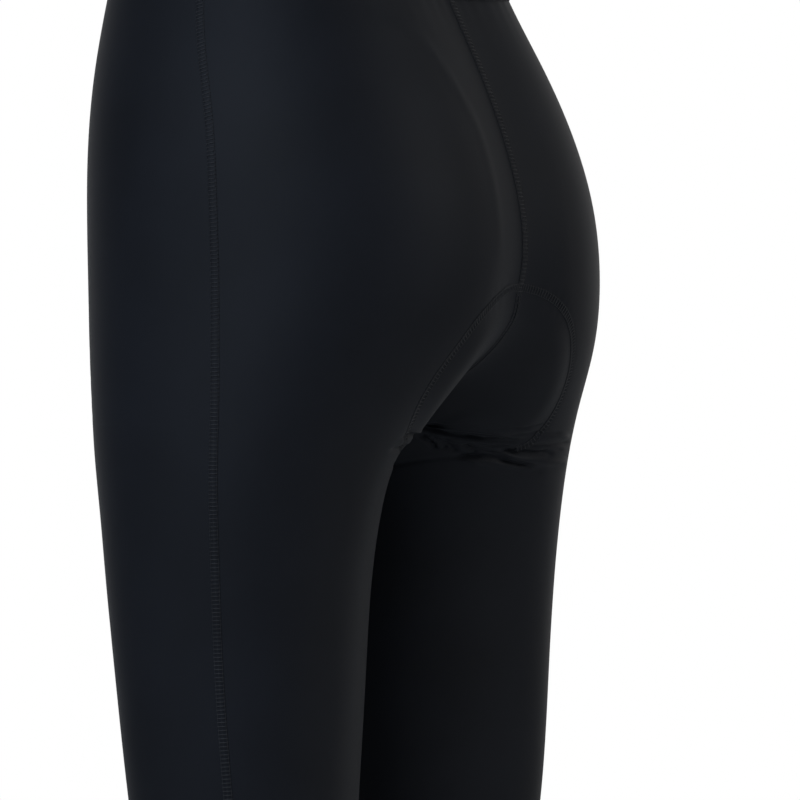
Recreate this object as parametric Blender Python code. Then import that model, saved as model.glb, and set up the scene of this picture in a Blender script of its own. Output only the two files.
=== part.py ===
"""Cycling tights, worn size small: a waistband, four panels, two ankle hems and a seat pad.

The garment hangs from the waist: the origin is the middle of the waist opening, inside the
band, +Z is up, the front faces -Y and the wearer's left is +X. Sizes are metres.

One formula gives the outer face. At each height the left half has an egg-shaped outline
made of four quarter ovals that meet at its foremost, outermost, rearmost and innermost
points. The outline is read at X = sqrt(x*x + blend*blend), so the two halves flow into
each other over the centre seams and part at the crotch, where the innermost point passes
the blend width. The panels are ranges of that face, between the seams.
"""
import bmesh
import bpy
import numpy as np

# Wall and seams
WALL = 0.0014
SEAM_GAP = 0.0003
STEP = 0.0001
SHARP_ANGLE = 0.9

# How finely the outline and the seams are measured
ARC_POINTS = 90
SEAM_POINTS = 600
CROTCH_TRIES = 4001
WALK_STEPS = 24

# Heights: where the waistband is sewn on, and the ankle hems
WAIST_SEAM = {"back": -0.0215, "side": -0.0125, "front": -0.0165}
BAND_HEIGHT = 0.040
HEM_BOTTOM = -0.962
HEM_SEAM = -0.940
CROTCH_BETWEEN = (-0.240, -0.290)

# Rows of each panel: share of the way from crotch to waist, and from crotch to hem
ROWS_ABOVE = ((0.0, 0.06, 5), (0.06, 0.25, 5), (0.25, 0.60, 8), (0.60, 1.0, 5))
ROWS_BELOW = ((0.0, 0.036, 6), (0.036, 0.13, 4), (0.13, 1.0, 19))
PANEL_COLUMNS = {"front": 11, "back": 14}
COLUMN_GROWTH = 0.8

# Round the waistband and the hems: height over the seam and depth under the outer face
BAND_COLUMNS = {"front": 13, "back": 14}
BAND_PROFILE = ((0.0, -0.0005), (0.013, -0.0006), (0.026, -0.0006), (BAND_HEIGHT - 0.001, -0.0005),
                (BAND_HEIGHT, 0.0006), (BAND_HEIGHT - 0.001, 0.0018), (0.020, 0.0018), (0.0, 0.0018))
HEM_COLUMNS = 13
HEM_PROFILE = ((0.0, 0.0006), (0.001, -0.0005), (0.021, -0.0005), (0.022, 0.0),
               (0.022, 0.0018), (0.0, 0.0018))

# Seat pad: distance along the seat seam from the back waist, and half width there
PAD_WIDTHS = ((0.174, 0.010), (0.186, 0.047), (0.200, 0.063), (0.215, 0.0735), (0.238, 0.081),
              (0.250, 0.0785), (0.265, 0.0625), (0.280, 0.048), (0.300, 0.037), (0.330, 0.034),
              (0.380, 0.034), (0.415, 0.029), (0.432, 0.012))
PAD_ROWS = 22
PAD_COLUMNS = 6
PAD_MIDDLE = 0.006
PAD_RIM = 0.0015
PAD_CLEARANCE = 0.0011
PAD_SPREAD = 2.0
PAD_SWELL_ACROSS = 4
PAD_SWELL_ALONG = 0.5

# Side seam: how far it lies behind the outermost point, at each height
SIDE_SEAM = (
    (0.020, 0.000), (-0.030, 0.001), (-0.060, 0.008), (-0.100, 0.0175), (-0.140, 0.0215),
    (-0.200, 0.0245), (-0.280, 0.028), (-0.380, 0.0325), (-0.470, 0.0375), (-0.580, 0.038),
    (-0.710, 0.034), (-0.860, 0.024), (-0.965, 0.020),
)

# Largest creases under the seat: where they start and stop, measured from the centre seam.
# Each one fades in and out over a share of its length.
CREASE_FADE = 0.25
CREASE_COLUMNS = ("side", "near", "far", "z_near", "z_far", "half_width", "depth")
CREASES = (
    ("right", 0.044, 0.108, -0.2622, -0.2703, 0.0042, 0.0019),
    ("right", 0.094, 0.168, -0.2745, -0.2755, 0.0042, 0.0016),
    ("right", 0.066, 0.168, -0.2805, -0.2850, 0.0042, 0.0015),
    ("left", 0.040, 0.096, -0.2640, -0.2705, 0.0042, 0.0016),
    ("left", 0.044, 0.092, -0.2750, -0.2800, 0.0042, 0.0012),
)

# Finishes, linear colour
CLOTH_COLOUR = (0.011, 0.012, 0.016)
CLOTH_ROUGHNESS = 0.62
BAND_COLOUR = (0.010, 0.011, 0.014)
BAND_ROUGHNESS = 0.7
PAD_COLOUR = (0.05, 0.05, 0.055)
PAD_ROUGHNESS = 0.85

# Rows of the left half outline, one per height, in metres
SECTION_COLUMNS = ("z", "x_side", "x_in", "y_front", "y_back",
                   "x_front", "x_back", "y_side", "y_in", "blend")
SECTIONS = (
    (0.020, 0.113, -0.060, -0.107, 0.060, 0.045, 0.047, -0.010, 0.000, 0.030),
    (-0.020, 0.124, -0.060, -0.112, 0.077, 0.046, 0.049, -0.009, 0.000, 0.030),
    (-0.060, 0.138, -0.057, -0.114, 0.0975, 0.050, 0.051, -0.007, 0.000, 0.030),
    (-0.100, 0.148, -0.053, -0.113, 0.1155, 0.055, 0.052, -0.005, 0.000, 0.029),
    (-0.140, 0.154, -0.047, -0.110, 0.1275, 0.060, 0.052, -0.003, 0.000, 0.0295),
    (-0.180, 0.158, -0.035, -0.105, 0.130, 0.066, 0.053, -0.001, 0.000, 0.0285),
    (-0.220, 0.161, -0.016, -0.098, 0.1200, 0.074, 0.061, 0.000, 0.000, 0.0195),
    (-0.250, 0.163, 0.003, -0.092, 0.104, 0.081, 0.075, 0.000, 0.000, 0.0115),
    (-0.280, 0.1650, 0.0175, -0.086, 0.0895, 0.087, 0.0915, -0.001, 0.000, 0.0085),
    (-0.310, 0.1655, 0.0215, -0.080, 0.0815, 0.091, 0.0985, -0.002, 0.000, 0.007),
    (-0.350, 0.1650, 0.0215, -0.074, 0.0755, 0.0935, 0.102, -0.003, -0.001, 0.0045),
    (-0.400, 0.163, 0.0215, -0.067, 0.072, 0.094, 0.103, -0.005, -0.003, 0.002),
    (-0.460, 0.1595, 0.0235, -0.059, 0.0685, 0.093, 0.104, -0.006, -0.004, 0.000),
    (-0.520, 0.1535, 0.026, -0.051, 0.0635, 0.091, 0.100, -0.006, -0.004, 0.000),
    (-0.580, 0.146, 0.0275, -0.045, 0.0585, 0.088, 0.096, -0.004, -0.003, 0.000),
    (-0.640, 0.142, 0.030, -0.040, 0.0605, 0.086, 0.092, 0.002, 0.002, 0.000),
    (-0.710, 0.139, 0.032, -0.036, 0.0700, 0.086, 0.089, 0.009, 0.009, 0.000),
    (-0.780, 0.132, 0.036, -0.031, 0.0665, 0.085, 0.086, 0.013, 0.013, 0.000),
    (-0.860, 0.122, 0.044, -0.025, 0.053, 0.083, 0.084, 0.012, 0.012, 0.000),
    (-0.920, 0.1175, 0.049, -0.0225, 0.048, 0.083, 0.083, 0.012, 0.012, 0.000),
    (-0.965, 0.1165, 0.0505, -0.0225, 0.0475, 0.083, 0.083, 0.012, 0.012, 0.000),
)
# How square each quarter oval is: 2 is an ellipse
ROUNDNESS = {"front_in": 2.10, "front_out": 2.15, "back_in": 1.90, "back_out": 2.15}


def spline(knots, values, at):
    """Natural cubic curve through the values."""
    gaps = np.diff(knots)
    count = len(knots)
    matrix = np.zeros((count, count))
    right = np.zeros(count)
    matrix[0, 0] = matrix[-1, -1] = 1.0
    inner = np.arange(1, count - 1)
    matrix[inner, inner - 1] = gaps[:-1]
    matrix[inner, inner] = 2.0 * (gaps[:-1] + gaps[1:])
    matrix[inner, inner + 1] = gaps[1:]
    slopes = np.diff(values) / gaps
    right[1:-1] = 6.0 * np.diff(slopes)
    bends = np.linalg.solve(matrix, right)
    k = np.clip(np.searchsorted(knots, at) - 1, 0, count - 2)
    after = at - knots[k]
    before = knots[k + 1] - at
    return ((bends[k] * before ** 3 + bends[k + 1] * after ** 3) / (6.0 * gaps[k])
            + (values[k] / gaps[k] - bends[k] * gaps[k] / 6.0) * before
            + (values[k + 1] / gaps[k] - bends[k + 1] * gaps[k] / 6.0) * after)


def sizes_at(z):
    """The outline's sizes at each height, by column name."""
    table = np.array(SECTIONS)[::-1]
    sizes = {name: spline(table[:, 0], table[:, k], z)
             for k, name in enumerate(SECTION_COLUMNS)}
    sizes["blend"] = np.maximum(sizes["blend"], 0.0)
    return sizes


def section_arc(z, end):
    """Half outline from the centre seam (or inseam) round to the outermost point.

    z is an array of heights, end is front or back; gives arrays of x and y, one row a height.
    """
    s = {name: value[:, None] for name, value in sizes_at(z).items()}
    x_end, y_end = s["x_" + end], s["y_" + end]
    step = np.linspace(0.0, 1.0, ARC_POINTS)[None, :]
    p_in, p_out = ROUNDNESS[end + "_in"], ROUNDNESS[end + "_out"]
    share = np.clip((x_end - s["blend"]) / (x_end - s["x_in"]), 0.0, 1.0)
    start = np.arccos(share ** (p_in / 2.0))
    turn = start + (np.pi / 2.0 - start) * step
    x_inner = x_end - (x_end - s["x_in"]) * np.cos(turn) ** (2.0 / p_in)
    y_inner = s["y_in"] + (y_end - s["y_in"]) * np.sin(turn) ** (2.0 / p_in)
    turn = np.pi / 2.0 * (1.0 - step[:, 1:])
    x_outer = x_end + (s["x_side"] - x_end) * np.clip(np.cos(turn), 0.0, 1.0) ** (2.0 / p_out)
    y_outer = s["y_side"] + (y_end - s["y_side"]) * np.sin(turn) ** (2.0 / p_out)
    x = np.concatenate((x_inner, x_outer), axis=1)
    y = np.concatenate((y_inner, y_outer), axis=1)
    return np.sqrt(np.maximum(x ** 2 - s["blend"] ** 2, 0.0)), y


def outside(points):
    """Below 0 inside the garment, 0 on its outer face, above 0 outside."""
    x, y, z = points[..., 0], points[..., 1], points[..., 2]
    s = sizes_at(z)
    across = np.sqrt(x ** 2 + s["blend"] ** 2)
    middle = np.where(across > 0.5 * (s["x_front"] + s["x_back"]), s["y_side"], s["y_in"])
    back = y > middle
    x_end = np.where(back, s["x_back"], s["x_front"])
    y_end = np.where(back, s["y_back"], s["y_front"])
    outer = across > x_end
    x_half = np.where(outer, s["x_side"] - x_end, x_end - s["x_in"])
    y_mid = np.where(outer, s["y_side"], s["y_in"])
    power = np.where(back, np.where(outer, ROUNDNESS["back_out"], ROUNDNESS["back_in"]),
                     np.where(outer, ROUNDNESS["front_out"], ROUNDNESS["front_in"]))
    flat = (np.abs((across - x_end) / x_half) ** power
            + np.abs((y - y_mid) / (y_end - y_mid)) ** power)
    return flat ** (1.0 / power) - 1.0


def slope(points):
    """Direction in which outside() grows fastest, not scaled."""
    parts = []
    for axis in range(3):
        shift = np.zeros(3)
        shift[axis] = STEP
        parts.append(outside(points + shift) - outside(points - shift))
    return np.stack(parts, axis=-1) / (2.0 * STEP)


def unit(vectors):
    """Each vector at length one."""
    return vectors / np.linalg.norm(vectors, axis=-1, keepdims=True)


def crotch_height():
    """Height at which the innermost point passes the blend width and the legs part."""
    z = np.linspace(CROTCH_BETWEEN[0], CROTCH_BETWEEN[1], CROTCH_TRIES)
    sizes = sizes_at(z)
    spread = sizes["x_in"] - sizes["blend"]
    return float(np.interp(0.0, spread, z))


def centre_height(share, end):
    """Height on the centre seam at even shares of its length, 0 at the crotch, 1 at the waist."""
    crotch = crotch_height()
    rise = np.linspace(0.0, 1.0, SEAM_POINTS)
    z = crotch + (WAIST_SEAM[end] - crotch) * rise ** 2
    y = section_arc(z, end)[1][:, 0]
    lengths = np.concatenate(([0.0], np.cumsum(np.hypot(np.diff(y), np.diff(z)))))
    return np.interp(share * lengths[-1], lengths, z)


def row_heights(end):
    """Height of each row at the side seam and at the centre seam or inseam, top row first."""
    crotch = crotch_height()
    share = np.zeros(1)
    for start, stop, count in ROWS_ABOVE:
        share = np.append(share, np.linspace(start, stop, count + 1)[1:])
    share = share[::-1]
    drop = np.zeros(0)
    for start, stop, count in ROWS_BELOW:
        drop = np.append(drop, np.linspace(start, stop, count + 1)[1:])
    below = crotch + (HEM_SEAM + SEAM_GAP - crotch) * drop
    side = crotch + (WAIST_SEAM["side"] - crotch) * share
    return np.append(side, below), np.append(centre_height(share, end), below)


def outline_at(z):
    """Whole left half outline at each height: x, y, length from the front centre, and the
    lengths at which the side seam and the back centre lie."""
    front_x, front_y = section_arc(z, "front")
    back_x, back_y = section_arc(z, "back")
    x = np.concatenate((front_x, back_x[:, -2::-1]), axis=1)
    y = np.concatenate((front_y, back_y[:, -2::-1]), axis=1)
    steps = np.hypot(np.diff(x, axis=1), np.diff(y, axis=1))
    lengths = np.concatenate((np.zeros((len(x), 1)), np.cumsum(steps, axis=1)), axis=1)
    table = np.array(SIDE_SEAM)[::-1]
    seam = lengths[:, front_x.shape[1] - 1] + spline(table[:, 0], table[:, 1], z)
    return x, y, lengths, seam, lengths[:, -1]


def row_length(z_end, end, gap):
    """Length of a panel's row from the side seam to the centre, read where it meets the centre."""
    seam, last = outline_at(z_end)[3:]
    return (last - seam if end == "back" else seam) - 2.0 * gap


def outline_point(z, share, end, length, gap=0.0):
    """Points of the left half's outer face, and how far each lies from the centre.

    z is their height and share how far they are along their row, 0 at the side seam and
    1 at the centre seam or inseam. The row has the given length and keeps gap off each seam.
    """
    flat_z = np.ravel(z)
    x, y, lengths, seam, last = outline_at(flat_z)
    way = 1.0 if end == "back" else -1.0
    target = seam + way * (gap + np.ravel(share * length))
    k = np.clip((lengths < target[:, None]).sum(axis=1) - 1, 0, lengths.shape[1] - 2)
    row = np.arange(len(x))
    part = (target - lengths[row, k]) / (lengths[row, k + 1] - lengths[row, k])
    point = np.stack((x[row, k] + (x[row, k + 1] - x[row, k]) * part,
                      y[row, k] + (y[row, k + 1] - y[row, k]) * part,
                      flat_z), axis=-1)
    from_centre = last - target if end == "back" else target
    return point.reshape(np.shape(z) + (3,)), from_centre.reshape(np.shape(z))


def ease(t):
    """Smooth step from 0 to 1."""
    t = np.clip(t, 0.0, 1.0)
    return t * t * (3.0 - 2.0 * t)


def crease_depth(z, from_centre, side, spread=1.0):
    """How far the under-seat creases sink the cloth, as soft troughs with fading ends.

    A spread above 1 widens each trough, for what has to clear it.
    """
    depth = np.zeros(np.shape(z))
    for row in CREASES:
        crease = dict(zip(CREASE_COLUMNS, row))
        if crease["side"] != side:
            continue
        length = crease["far"] - crease["near"]
        along = (from_centre - crease["near"]) / length
        line = crease["z_near"] + (crease["z_far"] - crease["z_near"]) * along
        trough = np.exp(-((z - line) / (crease["half_width"] * spread)) ** 2)
        fade_length = CREASE_FADE / spread
        fade = ease(along / fade_length) * ease((1.0 - along) / fade_length)
        depth += crease["depth"] * trough * fade
    return depth


def length_from_centre(points):
    """How far points of the left half's back lie from the centre seam, round the outline."""
    z = points[..., 2].ravel()
    x, y = section_arc(z, "back")
    steps = np.hypot(np.diff(x, axis=1), np.diff(y, axis=1))
    lengths = np.concatenate((np.zeros((len(x), 1)), np.cumsum(steps, axis=1)), axis=1)
    miss = np.hypot(x - points[..., 0].ravel()[:, None], y - points[..., 1].ravel()[:, None])
    return lengths[np.arange(len(x)), miss.argmin(axis=1)].reshape(points.shape[:-1])


def panel_grid(side, end):
    """Outer and inner points of one panel, rows from waist to ankle, columns from the side seam."""
    step = np.linspace(0.0, 1.0, PANEL_COLUMNS[end] + 1)
    share = 1.0 - np.expm1(COLUMN_GROWTH * (1.0 - step)) / np.expm1(COLUMN_GROWTH)
    at_side, at_centre = row_heights(end)
    z = at_side[:, None] + (at_centre - at_side)[:, None] * ease(share)[None, :]
    length = row_length(at_centre, end, SEAM_GAP / 2.0)[:, None]
    face, from_centre = outline_point(z, share, end, length, SEAM_GAP / 2.0)
    out = unit(slope(face))
    sunk = crease_depth(z, from_centre, side)[..., None] * (end == "back")
    outer = face - out * sunk
    inner = outer - out * WALL
    flip = np.array((1.0 if side == "left" else -1.0, 1.0, 1.0))
    return outer * flip, inner * flip


def new_object(name, points, faces, colour, roughness):
    """Closed mesh with its faces out, its own material, shaded smooth."""
    mesh = bpy.data.meshes.new(name)
    mesh.from_pydata(points.tolist(), [], faces)
    shape = bmesh.new()
    shape.from_mesh(mesh)
    bmesh.ops.recalc_face_normals(shape, faces=shape.faces)
    shape.to_mesh(mesh)
    shape.free()
    mesh.shade_smooth()
    mesh.set_sharp_from_angle(angle=SHARP_ANGLE)
    material = bpy.data.materials.new(name)
    material.use_nodes = True
    shader = material.node_tree.nodes["Principled BSDF"]
    shader.inputs["Base Color"].default_value = (*colour, 1.0)
    shader.inputs["Roughness"].default_value = roughness
    shader.inputs["Metallic"].default_value = 0.0
    mesh.materials.append(material)
    item = bpy.data.objects.new(name, mesh)
    bpy.context.collection.objects.link(item)
    return item


def grid_faces(rows, columns, first=0, wrap_rows=False, wrap_columns=False):
    """Quads over a grid of points numbered row by row."""
    faces = []
    for r in range(rows if wrap_rows else rows - 1):
        for c in range(columns if wrap_columns else columns - 1):
            right = (c + 1) % columns
            below = (r + 1) % rows
            faces.append((first + r * columns + c, first + r * columns + right,
                          first + below * columns + right, first + below * columns + c))
    return faces


def sheet(name, outer, inner, colour, roughness):
    """Wall between two grids of points, closed along its four edges."""
    rows, columns = outer.shape[:2]
    count = rows * columns
    points = np.concatenate((outer.reshape(-1, 3), inner.reshape(-1, 3)))
    faces = grid_faces(rows, columns)
    faces += [face[::-1] for face in grid_faces(rows, columns, count)]
    index = np.arange(count).reshape(rows, columns)
    border = np.concatenate((index[0, :-1], index[:-1, -1], index[-1, :0:-1], index[:0:-1, 0]))
    for a, b in zip(border, np.roll(border, -1)):
        faces.append((int(b), int(a), int(a) + count, int(b) + count))
    return new_object(name, points, faces, colour, roughness)


def ring(name, points, colour, roughness):
    """Closed band from a grid of points: rows go round its profile, columns round the body."""
    rows, columns = points.shape[:2]
    faces = grid_faces(rows, columns, wrap_rows=True, wrap_columns=True)
    return new_object(name, points.reshape(-1, 3), faces, colour, roughness)


def make_panel(side, end):
    outer, inner = panel_grid(side, end)
    return sheet(side + "_" + end, outer, inner, CLOTH_COLOUR, CLOTH_ROUGHNESS)


def around_half(end, steps):
    """Shares of one half panel for a band that goes round, and the seam height at each."""
    share = np.linspace(0.0, 1.0, steps + 1)
    side = WAIST_SEAM["side"]
    return share, side + (WAIST_SEAM[end] - side) * ease(share)


def make_waistband():
    """Folded elastic band: its profile climbs the outside and comes down the inside."""
    halves = []
    for end in ("front", "back"):
        share, seam = around_half(end, BAND_COLUMNS[end])
        loop = []
        for height, depth in BAND_PROFILE:
            z = seam + SEAM_GAP + height
            face = outline_point(z, share, end, row_length(z[-1:], end, 0.0))[0]
            loop.append(face - unit(slope(face)) * depth)
        halves.append(np.array(loop))
    front, back = halves
    half = np.concatenate((front[:, ::-1], back[:, 1:]), axis=1)
    other = half[:, -2:0:-1] * np.array((-1.0, 1.0, 1.0))
    return ring("waistband", np.concatenate((half, other), axis=1), BAND_COLOUR, BAND_ROUGHNESS)


def make_hem(side):
    """Turned-up band at the ankle, a little proud of the panels."""
    halves = []
    for end in ("front", "back"):
        share = np.linspace(0.0, 1.0, HEM_COLUMNS + 1)
        loop = []
        for height, depth in HEM_PROFILE:
            z = np.full(share.shape, HEM_BOTTOM + height)
            face = outline_point(z, share, end, row_length(z[:1], end, 0.0))[0]
            loop.append(face - unit(slope(face)) * depth)
        halves.append(np.array(loop))
    front, back = halves
    points = np.concatenate((front[:, ::-1], back[:, 1:-1]), axis=1)
    flip = np.array((1.0 if side == "left" else -1.0, 1.0, 1.0))
    return ring(side + "_hem", points * flip, CLOTH_COLOUR, CLOTH_ROUGHNESS)


def seat_seam():
    """The centre seam as one line: back waist, down through the crotch, up to the front waist.

    Gives its points, its direction at each and its length from the back waist.
    """
    share = np.linspace(0.0, 1.0, SEAM_POINTS)
    lines = []
    for end in ("back", "front"):
        z = centre_height(share, end)
        y = section_arc(z, end)[1][:, 0]
        lines.append(np.stack((np.zeros(len(z)), y, z), axis=-1))
    line = np.concatenate((lines[0][::-1], lines[1][1:]))
    along = unit(np.gradient(line, axis=0))
    lengths = np.concatenate(([0.0], np.cumsum(np.linalg.norm(np.diff(line, axis=0), axis=1))))
    return line, along, lengths


def walk_across(start, along, distance):
    """Walks over the outer face, square to the seat seam, by the given distances towards +X."""
    points = start.copy()
    for _ in range(WALK_STEPS):
        sideways = unit(np.cross(along, slope(points)))
        sideways = sideways * np.sign(sideways[..., :1])
        points = points + sideways * distance[..., None] / WALK_STEPS
        for _ in range(2):
            steep = slope(points)
            steep = steep - along * (steep * along).sum(axis=-1, keepdims=True)
            points = points - steep * (outside(points) / (steep ** 2).sum(axis=-1))[..., None]
    return points


def make_seat_pad():
    """Padding inside the seat: thick in the middle, thin at its stitched rim."""
    line, along, lengths = seat_seam()
    table = np.array(PAD_WIDTHS)
    turn = np.linspace(0.0, np.pi, PAD_ROWS + 1)
    place = table[0, 0] + (table[-1, 0] - table[0, 0]) * (1.0 - np.cos(turn)) / 2.0
    half_width = spline(table[:, 0], table[:, 1], place)
    start = np.stack([np.interp(place, lengths, line[:, k]) for k in range(3)], axis=-1)
    way = unit(np.stack([np.interp(place, lengths, along[:, k]) for k in range(3)], axis=-1))
    across = np.linspace(0.0, 1.0, PAD_COLUMNS + 1)
    shape = (PAD_ROWS + 1, PAD_COLUMNS + 1, 3)
    face = walk_across(np.broadcast_to(start[:, None], shape), np.broadcast_to(way[:, None], shape),
                       half_width[:, None] * across[None, :])
    out = unit(slope(face))
    swell = (1.0 - across[None, :] ** PAD_SWELL_ACROSS) * np.sin(turn)[:, None] ** PAD_SWELL_ALONG
    thick = PAD_RIM + (PAD_MIDDLE - PAD_RIM) * swell
    from_centre = length_from_centre(face)
    mirror = np.array((-1.0, 1.0, 1.0))
    both = []
    for side in ("right", "left"):
        sunk = crease_depth(face[..., 2], from_centre, side, PAD_SPREAD)
        depth = WALL + PAD_CLEARANCE + np.where(face[..., 1] > 0.0, sunk, 0.0)
        both.append((face - out * depth[..., None], face - out * (depth + thick)[..., None]))
    outer, inner = [np.concatenate((right[:, :0:-1] * mirror, left), axis=1)
                    for right, left in zip(*both)]
    return sheet("seat_pad", outer, inner, PAD_COLOUR, PAD_ROUGHNESS)


def clear_scene():
    for item in list(bpy.data.objects):
        bpy.data.objects.remove(item)


def main():
    clear_scene()
    for side in ("left", "right"):
        for end in ("front", "back"):
            make_panel(side, end)
        make_hem(side)
    make_waistband()
    make_seat_pad()


main()
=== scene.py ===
import bmesh
import bpy
import numpy as np
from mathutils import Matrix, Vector


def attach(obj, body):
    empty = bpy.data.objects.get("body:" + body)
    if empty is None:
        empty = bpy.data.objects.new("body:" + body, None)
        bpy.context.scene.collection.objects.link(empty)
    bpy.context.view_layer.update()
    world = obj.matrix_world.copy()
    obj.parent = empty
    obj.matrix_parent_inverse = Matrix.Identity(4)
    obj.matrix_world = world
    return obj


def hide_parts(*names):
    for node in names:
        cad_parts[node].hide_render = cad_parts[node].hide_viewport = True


# Cycling tights, worn size small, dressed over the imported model. Metres; +Z is up, the
# front faces -Y and the wearer's left is +X. The origin is the middle of the waist opening.
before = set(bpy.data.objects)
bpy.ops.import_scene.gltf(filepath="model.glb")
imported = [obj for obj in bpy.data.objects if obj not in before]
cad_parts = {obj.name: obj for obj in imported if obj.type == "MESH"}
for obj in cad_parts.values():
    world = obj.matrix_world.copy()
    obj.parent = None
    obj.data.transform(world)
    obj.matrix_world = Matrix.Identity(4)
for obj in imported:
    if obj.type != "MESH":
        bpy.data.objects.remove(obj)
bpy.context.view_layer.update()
print("frame loaded:", len(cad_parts), "nodes")

# The worn form: the outline of the left half at each height
form = {
    "columns": ("z", "xSide", "xIn", "yFront", "yBack", "xFront", "xBack", "ySide", "yIn", "blend"),
    "sections": (
        (0.020, 0.113, -0.060, -0.107, 0.060, 0.045, 0.047, -0.010, 0.000, 0.030),
        (-0.020, 0.124, -0.060, -0.112, 0.077, 0.046, 0.049, -0.009, 0.000, 0.030),
        (-0.060, 0.138, -0.057, -0.114, 0.0975, 0.050, 0.051, -0.007, 0.000, 0.030),
        (-0.100, 0.148, -0.053, -0.113, 0.1155, 0.055, 0.052, -0.005, 0.000, 0.029),
        (-0.140, 0.154, -0.047, -0.110, 0.1275, 0.060, 0.052, -0.003, 0.000, 0.0295),
        (-0.180, 0.158, -0.035, -0.105, 0.130, 0.066, 0.053, -0.001, 0.000, 0.0285),
        (-0.220, 0.161, -0.016, -0.098, 0.1200, 0.074, 0.061, 0.000, 0.000, 0.0195),
        (-0.250, 0.163, 0.003, -0.092, 0.104, 0.081, 0.075, 0.000, 0.000, 0.0115),
        (-0.280, 0.1650, 0.0175, -0.086, 0.0895, 0.087, 0.0915, -0.001, 0.000, 0.0085),
        (-0.310, 0.1655, 0.0215, -0.080, 0.0815, 0.091, 0.0985, -0.002, 0.000, 0.007),
        (-0.350, 0.1650, 0.0215, -0.074, 0.0755, 0.0935, 0.102, -0.003, -0.001, 0.0045),
        (-0.400, 0.163, 0.0215, -0.067, 0.072, 0.094, 0.103, -0.005, -0.003, 0.002),
        (-0.460, 0.1595, 0.0235, -0.059, 0.0685, 0.093, 0.104, -0.006, -0.004, 0.000),
        (-0.520, 0.1535, 0.026, -0.051, 0.0635, 0.091, 0.100, -0.006, -0.004, 0.000),
        (-0.580, 0.146, 0.0275, -0.045, 0.0585, 0.088, 0.096, -0.004, -0.003, 0.000),
        (-0.640, 0.142, 0.030, -0.040, 0.0605, 0.086, 0.092, 0.002, 0.002, 0.000),
        (-0.710, 0.139, 0.032, -0.036, 0.0700, 0.086, 0.089, 0.009, 0.009, 0.000),
        (-0.780, 0.132, 0.036, -0.031, 0.0665, 0.085, 0.086, 0.013, 0.013, 0.000),
        (-0.860, 0.122, 0.044, -0.025, 0.053, 0.083, 0.084, 0.012, 0.012, 0.000),
        (-0.920, 0.1175, 0.049, -0.0225, 0.048, 0.083, 0.083, 0.012, 0.012, 0.000),
        (-0.965, 0.1165, 0.0505, -0.0225, 0.0475, 0.083, 0.083, 0.012, 0.012, 0.000),
    ),
    "roundness": {"frontIn": 2.10, "frontOut": 2.15, "backIn": 1.90, "backOut": 2.15},
    # how far the side seam lies behind the outermost point, at each height
    "sideSeam": (
        (0.020, 0.000), (-0.030, 0.001), (-0.060, 0.008), (-0.100, 0.0175), (-0.140, 0.0215),
        (-0.200, 0.0245), (-0.280, 0.028), (-0.380, 0.0325), (-0.470, 0.0375), (-0.580, 0.038),
        (-0.710, 0.034), (-0.860, 0.024), (-0.965, 0.020),
    ),
    "waistSeam": {"back": -0.0215, "side": -0.0125, "front": -0.0165},
    "hemSeam": -0.940,
    "crotchBetween": (-0.240, -0.290),
    "seamGap": 0.0003,
    "arcPoints": 90,         # points on each quarter of the outline
    "slopeStep": 0.0001,
    "crotchSteps": 4001,
    "seamSteps": 600,        # points on each half of the seat seam
}
mirror = np.array((-1.0, 1.0, 1.0))
flips = {"left": np.ones(3), "right": mirror}


def runningLength(steps):
    # length run up to each point, from the lengths of the steps between them
    return np.concatenate((np.zeros(steps.shape[:-1] + (1,)), np.cumsum(steps, axis=-1)), axis=-1)


def splineThrough(knots, values, at):
    # natural cubic curve: each stretch is a cubic whose second derivative is zero at both ends
    gaps = np.diff(knots)
    count = len(knots)
    matrix = np.zeros((count, count))
    right = np.zeros(count)
    matrix[0, 0] = matrix[-1, -1] = 1.0
    inner = np.arange(1, count - 1)
    matrix[inner, inner - 1] = gaps[:-1]
    matrix[inner, inner] = 2.0 * (gaps[:-1] + gaps[1:])
    matrix[inner, inner + 1] = gaps[1:]
    right[1:-1] = 6.0 * np.diff(np.diff(values) / gaps)
    bends = np.linalg.solve(matrix, right)
    k = np.clip(np.searchsorted(knots, at) - 1, 0, count - 2)
    after = at - knots[k]
    before = knots[k + 1] - at
    return ((bends[k] * before ** 3 + bends[k + 1] * after ** 3) / (6.0 * gaps[k])
            + (values[k] / gaps[k] - bends[k] * gaps[k] / 6.0) * before
            + (values[k + 1] / gaps[k] - bends[k + 1] * gaps[k] / 6.0) * after)


def ease(t):
    t = np.clip(t, 0.0, 1.0)
    return t * t * (3.0 - 2.0 * t)


def unit(vectors):
    return vectors / np.linalg.norm(vectors, axis=-1, keepdims=True)


def sizesAt(z):
    # the outline's sizes at each height, by column name
    table = np.array(form["sections"])[::-1]
    sizes = {name: splineThrough(table[:, 0], table[:, k], z) for k, name in enumerate(form["columns"])}
    sizes["blend"] = np.maximum(sizes["blend"], 0.0)
    return sizes


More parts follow.
